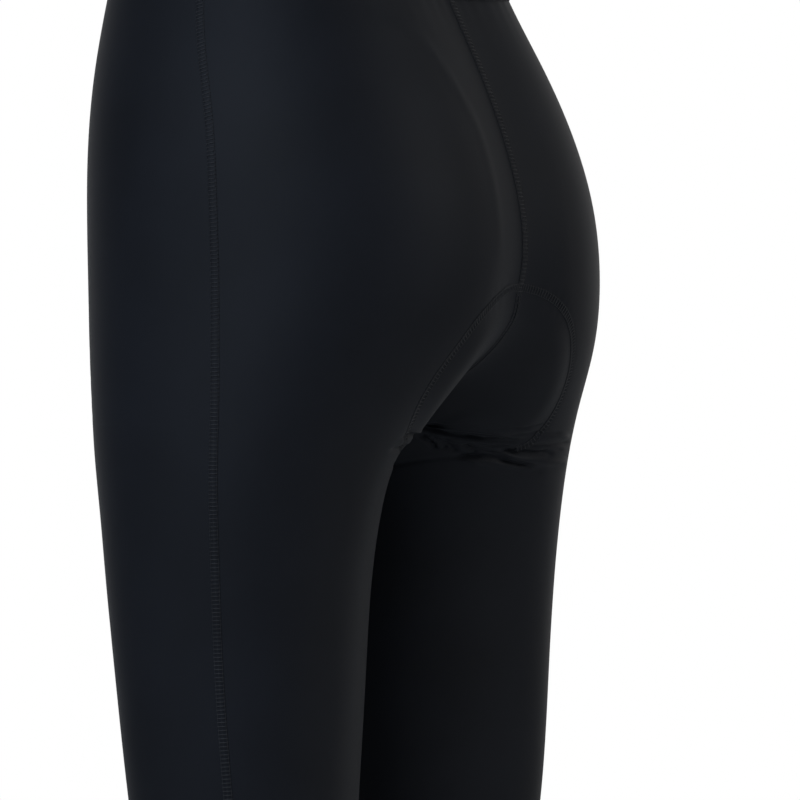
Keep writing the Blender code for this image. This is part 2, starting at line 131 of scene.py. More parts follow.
def sectionArc(z, end):
    # half outline, from the centre seam or inseam to the outermost point: two quarter ovals
    # (x/a)^p + (y/b)^p = 1, read at X = sqrt(x^2 + blend^2) so that the halves flow together
    s = {name: value[:, None] for name, value in sizesAt(z).items()}
    xEnd, yEnd = s["x" + end.title()], s["y" + end.title()]
    step = np.linspace(0.0, 1.0, form["arcPoints"])[None, :]
    pIn, pOut = form["roundness"][end + "In"], form["roundness"][end + "Out"]
    share = np.clip((xEnd - s["blend"]) / (xEnd - s["xIn"]), 0.0, 1.0)
    start = np.arccos(share ** (pIn / 2.0))
    turn = start + (np.pi / 2.0 - start) * step
    xInner = xEnd - (xEnd - s["xIn"]) * np.cos(turn) ** (2.0 / pIn)
    yInner = s["yIn"] + (yEnd - s["yIn"]) * np.sin(turn) ** (2.0 / pIn)
    turn = np.pi / 2.0 * (1.0 - step[:, 1:])
    xOuter = xEnd + (s["xSide"] - xEnd) * np.clip(np.cos(turn), 0.0, 1.0) ** (2.0 / pOut)
    yOuter = s["ySide"] + (yEnd - s["ySide"]) * np.sin(turn) ** (2.0 / pOut)
    x = np.concatenate((xInner, xOuter), axis=1)
    y = np.concatenate((yInner, yOuter), axis=1)
    return np.sqrt(np.maximum(x ** 2 - s["blend"] ** 2, 0.0)), y


def outsideOf(points):
    # below 0 inside the garment, 0 on its outer face: (|x|^p + |y|^p)^(1/p) - 1
    x, y, z = points[..., 0], points[..., 1], points[..., 2]
    s = sizesAt(z)
    across = np.sqrt(x ** 2 + s["blend"] ** 2)
    back = y > np.where(across > 0.5 * (s["xFront"] + s["xBack"]), s["ySide"], s["yIn"])
    xEnd = np.where(back, s["xBack"], s["xFront"])
    yEnd = np.where(back, s["yBack"], s["yFront"])
    outer = across > xEnd
    xHalf = np.where(outer, s["xSide"] - xEnd, xEnd - s["xIn"])
    yMid = np.where(outer, s["ySide"], s["yIn"])
    r = form["roundness"]
    power = np.where(back, np.where(outer, r["backOut"], r["backIn"]),
                     np.where(outer, r["frontOut"], r["frontIn"]))
    flat = np.abs((across - xEnd) / xHalf) ** power + np.abs((y - yMid) / (yEnd - yMid)) ** power
    return flat ** (1.0 / power) - 1.0


def slopeOf(points):
    # direction in which outsideOf grows fastest, by central differences
    parts = []
    for axis in range(3):
        shift = np.zeros(3)
        shift[axis] = form["slopeStep"]
        parts.append(outsideOf(points + shift) - outsideOf(points - shift))
    return np.stack(parts, axis=-1) / (2.0 * form["slopeStep"])


def slide(points, steep):
    # one step along the slope towards the outer face
    return points - steep * (outsideOf(points) / (steep ** 2).sum(axis=-1))[..., None]


def toFace(points, tries=3):
    # points near the outer face, put on it
    for _ in range(tries):
        points = slide(points, slopeOf(points))
    return points


def crotchHeight():
    # where the innermost point passes the blend width and the legs part
    z = np.linspace(*form["crotchBetween"], form["crotchSteps"])
    sizes = sizesAt(z)
    return float(np.interp(0.0, sizes["xIn"] - sizes["blend"], z))


crotch = crotchHeight()


def centreHeight(share, end):
    # height on the centre seam at shares of its length, 0 at the crotch and 1 at the waist
    z = crotch + (form["waistSeam"][end] - crotch) * np.linspace(0.0, 1.0, form["seamSteps"]) ** 2
    y = sectionArc(z, end)[1][:, 0]
    lengths = runningLength(np.hypot(np.diff(y), np.diff(z)))
    return np.interp(share * lengths[-1], lengths, z)


def outlineAt(z):
    # whole left half outline at each height, its running length from the front centre,
    # and the lengths at which the side seam and the back centre lie
    frontX, frontY = sectionArc(z, "front")
    backX, backY = sectionArc(z, "back")
    x = np.concatenate((frontX, backX[:, -2::-1]), axis=1)
    y = np.concatenate((frontY, backY[:, -2::-1]), axis=1)
    lengths = runningLength(np.hypot(np.diff(x), np.diff(y)))
    table = np.array(form["sideSeam"])[::-1]
    seam = lengths[:, frontX.shape[1] - 1] + splineThrough(table[:, 0], table[:, 1], z)
    return x, y, lengths, seam, lengths[:, -1]


def rowLength(z, end, gap):
    # length of a panel's row from the side seam to the centre
    seam, last = outlineAt(z)[3:]
    return (last - seam if end == "back" else seam) - 2.0 * gap


def outlinePoint(z, share, end, length, gap=0.0):
    # points of the left half at heights z, a share of the row's length from the side seam;
    # also how far each one lies from the centre seam or inseam
    flatZ = np.ravel(z)
    x, y, lengths, seam, last = outlineAt(flatZ)
    target = seam + (1.0 if end == "back" else -1.0) * (gap + np.ravel(share * length))
    k = np.clip((lengths < target[:, None]).sum(axis=1) - 1, 0, lengths.shape[1] - 2)
    row = np.arange(len(x))
    part = (target - lengths[row, k]) / (lengths[row, k + 1] - lengths[row, k])
    point = np.stack((x[row, k] + (x[row, k + 1] - x[row, k]) * part,
                      y[row, k] + (y[row, k + 1] - y[row, k]) * part, flatZ), axis=-1)
    fromCentre = last - target if end == "back" else target
    return point.reshape(np.shape(z) + (3,)), fromCentre.reshape(np.shape(z))


def lengthFromCentre(points, end):
    # how far face points lie from the centre seam or inseam, measured round the outline
    flat = points.reshape(-1, 3)
    x, y = sectionArc(flat[:, 2], end)
    lengths = runningLength(np.hypot(np.diff(x), np.diff(y)))
    k = np.hypot(x - np.abs(flat[:, :1]), y - flat[:, 1:2]).argmin(axis=1)
    row = np.arange(len(x))
    low, high = np.maximum(k - 1, 0), np.minimum(k + 1, x.shape[1] - 1)
    along = np.stack((x[row, high] - x[row, low], y[row, high] - y[row, low]), axis=-1)
    along = along / np.maximum(np.linalg.norm(along, axis=-1, keepdims=True), 1e-9)
    past = ((np.abs(flat[:, 0]) - x[row, k]) * along[:, 0] + (flat[:, 1] - y[row, k]) * along[:, 1])
    return np.maximum(lengths[row, k] + past, 0.0).reshape(points.shape[:-1])


def seatSeam():
    # the centre seam from the back waist, down through the crotch, to the front waist:
    # its points, its direction at each and its length from the back waist
    share = np.linspace(0.0, 1.0, form["seamSteps"])
    lines = []
    for end in ("back", "front"):
        z = centreHeight(share, end)
        y = sectionArc(z, end)[1][:, 0]
        lines.append(np.stack((np.zeros(len(z)), y, z), axis=-1))
    line = np.concatenate((lines[0][::-1], lines[1][1:]))
    lengths = runningLength(np.linalg.norm(np.diff(line, axis=0), axis=1))
    return line, unit(np.gradient(line, axis=0)), lengths


def pointsAt(line, lengths, at):
    return np.stack([np.interp(at, lengths, line[:, k]) for k in range(3)], axis=-1)


def walkAcross(place, distance, steps=24):
    # from a place on the seat seam, over the outer face and square to the seam, towards +X
    line, along, lengths = seatSeam()
    points = pointsAt(line, lengths, place)
    way = unit(pointsAt(along, lengths, place))
    for _ in range(steps):
        sideways = unit(np.cross(way, slopeOf(points)))
        sideways = sideways * np.where(sideways[..., :1] < 0.0, -1.0, 1.0)
        points = points + sideways * distance[..., None] / steps
        for _ in range(2):
            steep = slopeOf(points)
            points = slide(points, steep - way * (steep * way).sum(axis=-1, keepdims=True))
    return points


# The seat pad: its outline, as distance along the seat seam and half width there
pad = {
    "outline": (
        (0.1740, 0.0), (0.1747, 0.012), (0.1778, 0.0285), (0.1864, 0.0475), (0.2000, 0.063),
        (0.2125, 0.073), (0.2255, 0.0795), (0.2380, 0.0815), (0.2500, 0.0785), (0.2650, 0.0625),
        (0.2800, 0.048), (0.3000, 0.037), (0.3300, 0.034), (0.3800, 0.034), (0.4150, 0.029),
        (0.4290, 0.016), (0.4330, 0.0),
    ),
    "loopPoints": 420,
    "hiddenInFolds": (0.256, 0.318),  # between these places its seam doesn't show
    "lift": 0.0034,          # how far the pad's edge pushes the cloth out
    "liftWidth": 0.0185,     # width of the bevel inside the outline
    "searchPast": 0.010,     # cloth further than this above or below the pad isn't tested
    "searchRun": 60,         # outline points tested at a time
    "groove": 0.00045,       # how far its seam pulls the cloth in
    "grooveWidth": 0.0016,
    "clearance": 0.0011,
    "wall": 0.0014,
    "middle": 0.0075,        # thickness of the pad itself, in the middle and at its rim
    "rim": 0.0016,
    "rows": 96,
    "columns": 30,
    "curvePoints": 2000,
    "shortBy": (0.0006, 0.0012),  # at the back and front end
    "narrowBy": 0.0004,
    "channel": 0.0022,       # depth of the sewn middle channel
    "channelWidth": 0.0045,
    "crossChannels": (0.262, 0.352),
    "crossSlant": 0.35,
}


def padCurve(count):
    # smooth curve through the outline table, by its running length: places and half widths
    table = np.array(pad["outline"])
    run = runningLength(np.hypot(*np.diff(table, axis=0).T))
    at = np.linspace(0.0, run[-1], count)
    place, width = (splineThrough(run, table[:, k], at) for k in (0, 1))
    return place, np.maximum(width, 0.0)


def padOutline():
    # the outline walked out on the face, and the points between which the folds hide it
    place, width = padCurve(pad["loopPoints"])
    return walkAcross(place, width), [int(np.argmax(place > limit)) for limit in pad["hiddenInFolds"]]


padLoop, padFolds = padOutline()
padEnd = np.where(padLoop[:, 1] > sizesAt(padLoop[:, 2])["yIn"], "back", "front")
padChart = {end: np.stack((lengthFromCentre(padLoop[padEnd == end], end),
                           padLoop[padEnd == end, 2]), axis=-1) for end in ("back", "front")}
print("pad outline:", len(padLoop), "points, half length",
      round(float(np.linalg.norm(np.diff(padLoop, axis=0), axis=1).sum()), 3), "m")


def padDepthIn(points, fromCentre, end):
    # signed distance from the pad's outline, above 0 inside it
    flat = points.reshape(-1, 3).copy()
    flat[:, 0] = np.abs(flat[:, 0])
    inside = np.full(len(flat), -1.0)
    near = np.flatnonzero((flat[:, 2] < padLoop[:, 2].max() + pad["searchPast"])
                          & (flat[:, 2] > padLoop[:, 2].min() - pad["searchPast"]))
    start, reach = padLoop[:-1], np.diff(padLoop, axis=0)
    best = np.full(len(near), 1.0)
    for k in range(0, len(start), pad["searchRun"]):
        a, b = start[k:k + pad["searchRun"]], reach[k:k + pad["searchRun"]]
        gap = flat[near][:, None] - a[None]
        t = np.clip((gap * b).sum(axis=-1) / (b ** 2).sum(axis=-1), 0.0, 1.0)
        best = np.minimum(best, np.linalg.norm(gap - b * t[..., None], axis=-1).min(axis=1))
    u, v = fromCentre.reshape(-1)[near][:, None], flat[near, 2][:, None]
    first, second = padChart[end], np.roll(padChart[end], -1, axis=0)
    rise = second[:, 1] - first[:, 1]
    rise = np.where(np.abs(rise) < 1e-12, 1e-12, rise)
    cross = ((first[:, 1] > v) != (second[:, 1] > v)) & (
        u < first[:, 0] + (second[:, 0] - first[:, 0]) * (v - first[:, 1]) / rise)
    inside[near] = np.where(cross.sum(axis=1) % 2 == 1, best, -best)
    return inside.reshape(points.shape[:-1])


# Creases and soft ridges, placed on a side ("both" is left and right) and at the front
# or back: each runs through (distance from the centre seam or inseam, height) points. A depth
# below 0 is a ridge
creases = {
    "fade": 0.22,            # share of its length over which each one starts and stops
    "samples": 48,
    "reach": 4.0,            # half widths past which it isn't felt
    "unit": 0.001,           # the rows are half width, depth and points, in millimetres
    ("right", "back"): (
        # under the seat, right leg: the long fold, the ridge under it and the fan at its start
        (3.2, -1.2, ((34, -256), (56, -258.4), (80, -263), (104, -265.5))),
        (1.2, 2.7, ((26, -259), (51, -261.8), (63, -265), (80, -268.1), (108, -270.8))),
        (1.8, -1.3, ((46, -264.8), (62, -269), (80, -271.8), (92, -272.6))),
        (1, 0.9, ((61.8, -263.8), (75.9, -265), (91, -266.7))),
        (1, 1.2, ((47.9, -264.4), (54.7, -267.2), (64.2, -268.9))),
        (1, 1.2, ((80.1, -270.1), (91.5, -271.4), (101.9, -271.8))),
        (1, 1.3, ((73.6, -271.2), (84.9, -273.5), (98.4, -274.1))),
        (1.2, 1.3, ((44.8, -265), (49.9, -268.9), (53.5, -274.6))),
        (1.3, 2, ((46.8, -265.5), (51.4, -270.1), (53.5, -276.5))),
        (1.2, 1.5, ((52.5, -266.1), (57, -270.6), (59, -277))),
        (1.3, 1.9, ((58, -268.4), (61.5, -272.3), (64.5, -278.2))),
        (1.4, 2.1, ((69, -271.5), (72.8, -274.6), (75.7, -279.6))),
        (1.3, -0.9, ((65, -278.8), (73.2, -283.8), (79, -285.2))),
        (1.3, 1.4, ((73, -275.8), (86.2, -278.7), (96, -281.8))),
        (1.6, 3.1, ((60, -280.3), (86.1, -281.5), (94.2, -283.3), (114, -286.4))),
        # under the seat, right leg: outer half
        (1.1, 0.8, ((91, -266.7), (105.7, -266.4), (124.1, -266.8), (145, -266.9))),
        (1.3, 1, ((101, -261.8), (110, -262.6), (115, -261.2))),
        (2.2, -1, ((100, -273.4), (118.9, -270.8), (158, -269))),
        (1.6, 1.6, ((98, -276), (122.9, -274.5), (160, -272.2))),
        (1.5, 3.2, ((88, -276.6), (106.2, -278.5), (132, -278.3))),
        (1, 0.8, ((118, -276.5), (130, -276.8), (145, -276.2))),
        (2.1, -1.2, ((87, -279.5), (109.5, -282.8), (160, -283.6))),
        (2.6, 0.7, ((78, -286.2), (98.4, -288.4), (122, -288.2))),
        # behind the knees
        (4.8, 1.4, ((22, -554), (56, -558.5), (104, -556))),
        (4, 1.2, ((38, -574), (66, -576), (112, -572))),
        (4, 1, ((18, -590), (52, -594.5), (90, -592.5))),
    ),
    ("left", "back"): (
        # under the seat, left leg
        (2.5, 2.1, ((36, -260.8), (58, -264), (82, -266.8), (104, -268.2))),
        (1.8, -0.9, ((44, -266.8), (66, -269.4), (90, -271.2))),
        (1.6, 0.9, ((48, -268), (53, -272), (56, -277))),
        (1.5, 0.8, ((62, -270), (67, -274), (70, -278.2))),
        (1.7, 1, ((78, -275.5), (92, -277.8), (104, -278.2))),
        (1.9, 1.4, ((60, -280), (82, -282.2), (104, -283))),
        # the small folds at the corner of the left seat half
        (1.4, -0.7, ((86, -263.2), (106, -264), (122, -265))),
        (1.4, 1.6, ((86, -265.2), (106, -266.4), (125, -267.6))),
        (1.8, -0.7, ((90, -270), (110, -270.8), (126, -271.2))),
        (1.6, 1.3, ((90, -273.8), (110, -274.5), (128, -275))),
        # soft line of the cloth beside the centre back, left
        (5.5, -0.5, ((112, -40), (76, -44), (52, -53), (42, -72), (34, -92), (33, -140),
                     (35, -185))),
        # behind the knees
        (5, 1.3, ((30, -549), (60, -554), (98, -550))),
        (4.2, 1.5, ((16, -570), (48, -573.5), (110, -569))),
        (3.6, 0.9, ((40, -588), (70, -590), (104, -586))),
        (4.6, 0.8, ((22, -606), (50, -609), (78, -607.5))),
        # over the ankles
        (3.4, 0.6, ((20, -924), (44, -925.5), (70, -922))),
    ),
    ("both", "front"): (
        # at the top of the thigh, in front
        (5, 1.3, ((22, -248), (48, -233), (82, -213), (120, -198))),
        (3, 0.7, ((14, -270), (34, -274), (62, -273))),
        # over the ankles
        (4.4, 0.6, ((14, -890), (44, -894.5), (82, -893))),
    ),
    ("left", "front"): (
        # at the top of the thigh, in front
        (3.8, 0.9, ((18, -256), (44, -249), (80, -235))),
    ),
    ("right", "front"): (
        # at the top of the thigh, in front
        (3.6, 0.8, ((20, -239), (46, -221), (74, -205))),
        # over the ankles
        (3.6, 0.7, ((16, -915), (40, -918.5), (72, -916.5))),
    ),
    ("both", "back"): (
        # over the ankles
        (4, 0.8, ((12, -905), (34, -908.5), (64, -906))),
    ),
}

# Small puckers where the cloth is gathered on to the waistband and the hems
pucker = {"depth": 0.00010, "pitch": 0.0115, "reach": 0.010, "wander": 1.3, "wanderRate": 90.0}


def creaseDepth(z, fromCentre, side, end):
    # sum of soft troughs depth * exp(-(distance / halfWidth)^2), each fading at its two ends
    total = np.zeros(np.shape(z))
    for row in (*creases.get((side, end), ()), *creases.get(("both", end), ())):
        halfWidth, depth, knots = (np.array(value) * creases["unit"] for value in row)
        run = runningLength(np.hypot(*np.diff(knots, axis=0).T))
        at = np.linspace(0.0, run[-1], creases["samples"])
        lineU, lineZ = (splineThrough(run, knots[:, k], at) for k in (0, 1))
        reach = creases["reach"] * halfWidth
        near = ((z > lineZ.min() - reach) & (z < lineZ.max() + reach)
                & (fromCentre > lineU.min() - reach) & (fromCentre < lineU.max() + reach))
        gap = np.hypot(fromCentre[near][:, None] - lineU, z[near][:, None] - lineZ)
        share = at[gap.argmin(axis=1)] / run[-1]
        fade = ease(share / creases["fade"]) * ease((1.0 - share) / creases["fade"])
        total[near] += depth * np.exp(-(gap.min(axis=1) / halfWidth) ** 2) * fade
    return total


def clothMove(points, fromCentre, side, end):
    # how far the cloth stands off the plain form, outwards: pad edge up, groove and creases down
    inside = padDepthIn(points, fromCentre, end)
    lift = pad["lift"] * ease(inside / pad["liftWidth"])
    groove = pad["groove"] * np.exp(-(inside / pad["grooveWidth"]) ** 2)
    return lift - groove - creaseDepth(points[..., 2], fromCentre, side, end)


def clothOver(points):
    # clothMove for face points of either side and end, such as those of a seam
    move = np.zeros(points.shape[:-1])
    behind = points[..., 1] > sizesAt(points[..., 2])["yIn"]
    onLeft = points[..., 0] >= 0.0
    for end in ("back", "front"):
        for side in flips:
            mask = (behind == (end == "back")) & (onLeft == (side == "left"))
            part = points[mask]
            move[mask] = clothMove(part, lengthFromCentre(part, end), side, end)
    return move


# Meshes from grids of points

def gridQuads(rows, columns, wrapRows=False, wrapColumns=False):
    # quads between neighbouring points, numbered row by row
    r = np.arange(rows if wrapRows else rows - 1)[:, None]
    c = np.arange(columns if wrapColumns else columns - 1)[None, :]
    below, right = (r + 1) % rows, (c + 1) % columns
    corners = (r * columns + c, r * columns + right, below * columns + right, below * columns + c)
    return np.stack([np.broadcast_to(k, (len(r), c.shape[1])).ravel() for k in corners], axis=-1)


def cutPlaces(across, along):
    # UV in metres for each point of a grid
    return np.stack(np.broadcast_arrays(across, along), axis=-1).reshape(-1, 2)


def makePiece(name, points, quads, uv, material, sharp=0.9):
    # closed mesh from points and quads, faces outwards, with one UV in metres for each point
    mesh = bpy.data.meshes.new(name)
    quads = np.ascontiguousarray(quads, dtype=np.int32)
    mesh.vertices.add(points.size // 3)
    mesh.vertices.foreach_set("co", np.ascontiguousarray(points, dtype=np.float32).ravel())
    mesh.loops.add(quads.size)
    mesh.loops.foreach_set("vertex_index", quads.ravel())
    mesh.polygons.add(len(quads))
    mesh.polygons.foreach_set("loop_start", np.arange(0, quads.size, 4, dtype=np.int32))
    layer = mesh.uv_layers.new(name="cut")
    layer.data.foreach_set("uv", np.ascontiguousarray(uv[quads.ravel()], dtype=np.float32).ravel())
    mesh.update(calc_edges=True)
    mesh.validate()
    shape = bmesh.new()
    shape.from_mesh(mesh)
    bmesh.ops.recalc_face_normals(shape, faces=shape.faces)
    shape.to_mesh(mesh)
    shape.free()
    mesh.shade_smooth()
    mesh.set_sharp_from_angle(angle=sharp)
    mesh.materials.append(material)
    piece = bpy.data.objects.new(name, mesh)
    bpy.context.collection.objects.link(piece)
    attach(piece, "root")
    return piece


def shellPiece(name, outer, inner, uv, material):
    # two grids of points joined along their border into one closed wall
    rows, columns = outer.shape[:2]
    count = rows * columns
    points = np.concatenate((outer.reshape(-1, 3), inner.reshape(-1, 3)))
    quads = gridQuads(rows, columns)
    index = np.arange(count).reshape(rows, columns)
    border = np.concatenate((index[0, :-1], index[:-1, -1], index[-1, :0:-1], index[:0:-1, 0]))
    after = np.roll(border, -1)
    rim = np.stack((after, border, border + count, after + count), axis=-1)
    quads = np.concatenate((quads, quads[:, ::-1] + count, rim))
    return makePiece(name, points, quads, np.concatenate((uv, uv)), material)


# Finishes: everything reads the piece's own UV (metres on the cut) or Object coordinates
finishes = {
    "knit": {"colour": (0.0100, 0.0116, 0.0165), "rough": (0.56, 0.68), "specular": 0.22,
             "sheen": 0.05, "sheenRough": 0.45, "wale": 0.00062, "course": 0.00048,
             "bump": 0.22, "depth": 0.00010},
    "band": {"colour": (0.0095, 0.0108, 0.0150), "rough": (0.62, 0.74), "specular": 0.20,
             "sheen": 0.05, "sheenRough": 0.5, "wale": 0.0016, "course": 0.0007,
             "bump": 0.45, "depth": 0.00025},
    "pad": {"colour": (0.050, 0.050, 0.055), "rough": (0.80, 0.92), "specular": 0.15,
            "sheen": 0.25, "sheenRough": 0.6, "wale": 0.0011, "course": 0.0011,
            "bump": 0.5, "depth": 0.00030},
    "thread": {"colour": (0.0340, 0.0355, 0.0410), "rough": (0.45, 0.60), "specular": 0.35,
               "sheen": 0.05, "sheenRough": 0.4, "wale": 0.0004, "course": 0.0004,
               "bump": 0.3, "depth": 0.00008},
}
# what all the cloths share
yarn = {
    "drift": {"Scale": 14.0, "Detail": 4.0},
    "fibre": {"Scale": 1400.0, "Detail": 2.0},
    "shades": ((0.30, 0.84), (0.72, 1.18)),  # drift, and share of the colour there
    "speckle": 0.22,
    "fuzz": 0.35,            # share of the fibres in the relief
    "waves": {"Distortion": 0.6, "Detail": 1.0},
    "waveLength": 2.0 * np.pi / 20.0,  # of the wave texture at scale 1
}


def feed(tree, item, inputs):
    # inputs by name or number: a plain value, or the output of another node
    for name, value in inputs.items():
        if isinstance(value, bpy.types.NodeSocket):
            tree.links.new(value, item.inputs[name])
        else:
            item.inputs[name].default_value = value


def addNode(tree, kind, place, inputs=None, **values):
    item = tree.nodes.new(kind)
    item.location = place
    for name, value in values.items():
        setattr(item, name, value)
    feed(tree, item, inputs or {})
    return item


def clothMaterial(name, finish):
    # knit: wales and courses are two crossed waves on the UV, in metres, broken up by noise;
    # colour and roughness drift with two slower noises on Object coordinates
    material = bpy.data.materials.new(name)
    material.use_nodes = True
    tree = material.node_tree
    place = addNode(tree, "ShaderNodeTexCoord", (-1400, 0))
    drift, fibre = (
        addNode(tree, "ShaderNodeTexNoise", (-1000, up), {"Vector": place.outputs["Object"], **noise})
        for up, noise in ((300, yarn["drift"]), (60, yarn["fibre"])))

    ramp = addNode(tree, "ShaderNodeValToRGB", (-700, 300), {"Fac": drift.outputs["Fac"]})
    for element, (position, shade) in zip(ramp.color_ramp.elements, yarn["shades"]):
        element.position = position
        element.color = (*(c * shade for c in finish["colour"]), 1.0)
    speckle = addNode(tree, "ShaderNodeMixRGB", (-350, 300), {
        "Fac": yarn["speckle"], "Color1": ramp.outputs["Color"], "Color2": fibre.outputs["Fac"],
    }, blend_type="OVERLAY")
    rough = addNode(tree, "ShaderNodeMapRange", (-700, 0), {
        "Value": fibre.outputs["Fac"], "To Min": finish["rough"][0], "To Max": finish["rough"][1]})

    weave = [
        addNode(tree, "ShaderNodeTexWave", (-700, -250 - 260 * k), {
            "Vector": place.outputs["UV"], "Scale": yarn["waveLength"] / size, **yarn["waves"],
        }, wave_type="BANDS", bands_direction="XY"[k], wave_profile="SIN")
        for k, size in enumerate((finish["wale"], finish["course"]))]
    both = addNode(tree, "ShaderNodeMath", (-450, -350), {
        0: weave[0].outputs["Fac"], 1: weave[1].outputs["Fac"]}, operation="MULTIPLY")
    fuzz = addNode(tree, "ShaderNodeMath", (-450, -150), {
        0: fibre.outputs["Fac"], 1: yarn["fuzz"], 2: both.outputs["Value"]}, operation="MULTIPLY_ADD")
    bump = addNode(tree, "ShaderNodeBump", (-220, -250), {
        "Strength": finish["bump"], "Distance": finish["depth"], "Height": fuzz.outputs["Value"]})
    feed(tree, tree.nodes["Principled BSDF"], {
        "Base Color": speckle.outputs["Color"], "Roughness": rough.outputs["Result"],
        "Normal": bump.outputs["Normal"], "Metallic": 0.0, "Specular IOR Level": finish["specular"],
        "Sheen Weight": finish["sheen"], "Sheen Roughness": finish["sheenRough"]})
    return material


knit = clothMaterial("blackKnit", finishes["knit"])
elastic = clothMaterial("coveredElastic", finishes["band"])
brushed = clothMaterial("brushedPad", finishes["pad"])
thread = clothMaterial("sewingThread", finishes["thread"])

# The four panels: rows as shares of the way from the crotch to the waist and to the hem
panels = {
    "thickness": 0.0009,
    "above": ((0.0, 0.06, 12), (0.06, 0.36, 62), (0.36, 1.0, 40)),
    "below": ((0.0, 0.045, 70), (0.045, 0.13, 20), (0.13, 1.0, 170)),
    "columns": {"front": 48, "back": 104},
    "growth": 1.1,
    # flat cut: width, length and area before it is pulled on
    "flat": {"front": ((0.250, 0.900), 0.170), "back": ((0.250, 0.900), 0.140)},
}


def sharesOf(ranges):
    parts = [np.linspace(start, stop, count + 1)[1:] for start, stop, count in ranges]
    return np.concatenate(([0.0], *parts))


def panelGrid(side, end):
    # rows from waist to ankle, columns from the side seam to the centre. The height of a row
    # is zSide + (zCentre - zSide) * ease(share), so rows above the crotch follow the centre seam
    step = np.linspace(0.0, 1.0, panels["columns"][end] + 1)
    growth = panels["growth"]
    share = 1.0 - np.expm1(growth * (1.0 - step)) / np.expm1(growth)
    above, below = sharesOf(panels["above"])[::-1], sharesOf(panels["below"])[1:]
    low = crotch + (form["hemSeam"] + form["seamGap"] - crotch) * below
    atSide = np.append(crotch + (form["waistSeam"]["side"] - crotch) * above, low)
    atCentre = np.append(centreHeight(above, end), low)
    z = atSide[:, None] + (atCentre - atSide)[:, None] * ease(share)[None, :]
    gap = form["seamGap"] / 2.0
    plain, fromCentre = outlinePoint(z, share, end, rowLength(atCentre, end, gap)[:, None], gap)
    out = unit(slopeOf(plain))
    top, bottom = z[:1], z[-1:]
    edge = np.exp(-(top - z) / pucker["reach"]) + np.exp(-(z - bottom) / pucker["reach"])
    wander = pucker["wander"] * np.sin(fromCentre * pucker["wanderRate"])
    wave = np.sin(2.0 * np.pi * fromCentre / pucker["pitch"] + wander)
    move = clothMove(plain, fromCentre, side, end) + pucker["depth"] * edge * wave
    outer = plain + out * move[..., None]
    inner = outer - out * panels["thickness"]
    return outer * flips[side], inner * flips[side], cutPlaces(fromCentre, z)


for side in flips:
    for end in ("front", "back"):
        outer, inner, uv = panelGrid(side, end)
        piece = shellPiece(side + end.title() + "Panel", outer, inner, uv, knit)
        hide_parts(side + "_" + end)

# Seams: a low raised band with stitches along it and across it
seams = {
    "lap": 0.0004,           # height of the overlapped edges
    "sink": 0.0003,          # how deep the band's underside lies in the cloth
    "edge": 0.00004,         # and its two edges
    "acrossPoints": 11,
    "step": 0.0025,
    "threadRadius": 0.00017,
    "crossRadius": 0.00030,
    "stitch": 0.0022,        # length of one stitch along the seam
    "cross": 0.0022,         # spacing of the threads across it
    "dip": 0.00022,          # how far the ends of a stitch go down
    "stitchShare": 0.96,     # of its pitch that a stitch fills
    "rowRise": 0.8,          # height of the rows, in laps
    "crossRise": 0.4,        # height of the cross threads over the lap, in their radii
    "crossReach": 0.47,      # half length of the cross threads, in band widths
    # rings of a stitch: place along its half length, size, and share of the dip
    "rings": ((-1.0, 0.6, 1.0), (-0.6, 1.0, 0.0), (0.6, 1.0, 0.0), (1.0, 0.6, 1.0)),
    "threadCut": (0.001, 0.002),  # on the UV: half a stitch's length, and the step to the next
}
seamLines = {
    # width of the band, and its rows of stitches as distances from the middle
    "side": (0.0056, (-0.0022, 0.0, 0.0022)),
    "inner": (0.0054, (-0.0021, 0.0021)),
    "seat": (0.0058, (-0.0024, -0.0008, 0.0008, 0.0024)),
    "waist": (0.0052, (-0.0020, 0.0020)),
    "pad": (0.0054, (-0.0020, 0.0020)),
    "endGap": 0.0012,
    "underSeat": 0.0035,     # how far below the crotch the inseams start
    "sidePoints": 700,
    "innerPoints": 600,
    "roundPoints": 260,
}


def resample(path, step):
    # the same path at even lengths
    run = runningLength(np.linalg.norm(np.diff(path, axis=0), axis=1))
    count = max(int(round(run[-1] / step)), 4)
    at = np.linspace(0.0, run[-1], count + 1)
    return pointsAt(path, run, at), at


def seamFrame(path, closed=False):
    # direction along the path, and direction across it in the cloth
    if closed:
        along = unit(np.roll(path, -1, axis=0) - np.roll(path, 1, axis=0))
    else:
        along = unit(np.gradient(path, axis=0))
    return along, unit(np.cross(unit(slopeOf(path)), along))


def overCloth(points, height):
    # points near the face, put on the cloth and lifted by the height
    plain = toFace(points)
    out = unit(slopeOf(plain))
    return plain + out * (clothOver(plain) + height)[..., None], out


def seamBand(name, path, width, closed):
    # a low ridge carried along the path: its height is lap * (1 - |2a / width|^3) at a across.
    # Three points of its underside follow the eleven on top, and quads between the fourteen
    # close an open end
    path, along = resample(path, seams["step"])
    if closed:
        path, along = path[:-1], along[:-1]
    across = seamFrame(path, closed)[1]
    a = np.linspace(-0.5, 0.5, seams["acrossPoints"]) * width
    high = seams["lap"] * (1.0 - np.abs(2.0 * a / width) ** 3) - seams["edge"]
    a = np.concatenate((a, a[::-5]))
    high = np.concatenate((high, np.full(3, -seams["sink"])))
    points = path[:, None] + across[:, None] * a[None, :, None]
    points = overCloth(points, np.broadcast_to(high, points.shape[:-1]))[0]
    rows, columns = points.shape[:2]
    quads = gridQuads(rows, columns, wrapRows=closed, wrapColumns=True)
    if not closed:
        fan = np.array(((0, 1, 2, 13), (2, 3, 4, 13), (4, 5, 12, 13), (5, 6, 7, 12), (7, 8, 9, 12),
                        (9, 10, 11, 12)))
        quads = np.concatenate((quads, fan, fan[:, ::-1] + (rows - 1) * columns))
    piece = makePiece(name, points, quads, cutPlaces(a[None, :], along[:, None]), knit)
    return piece


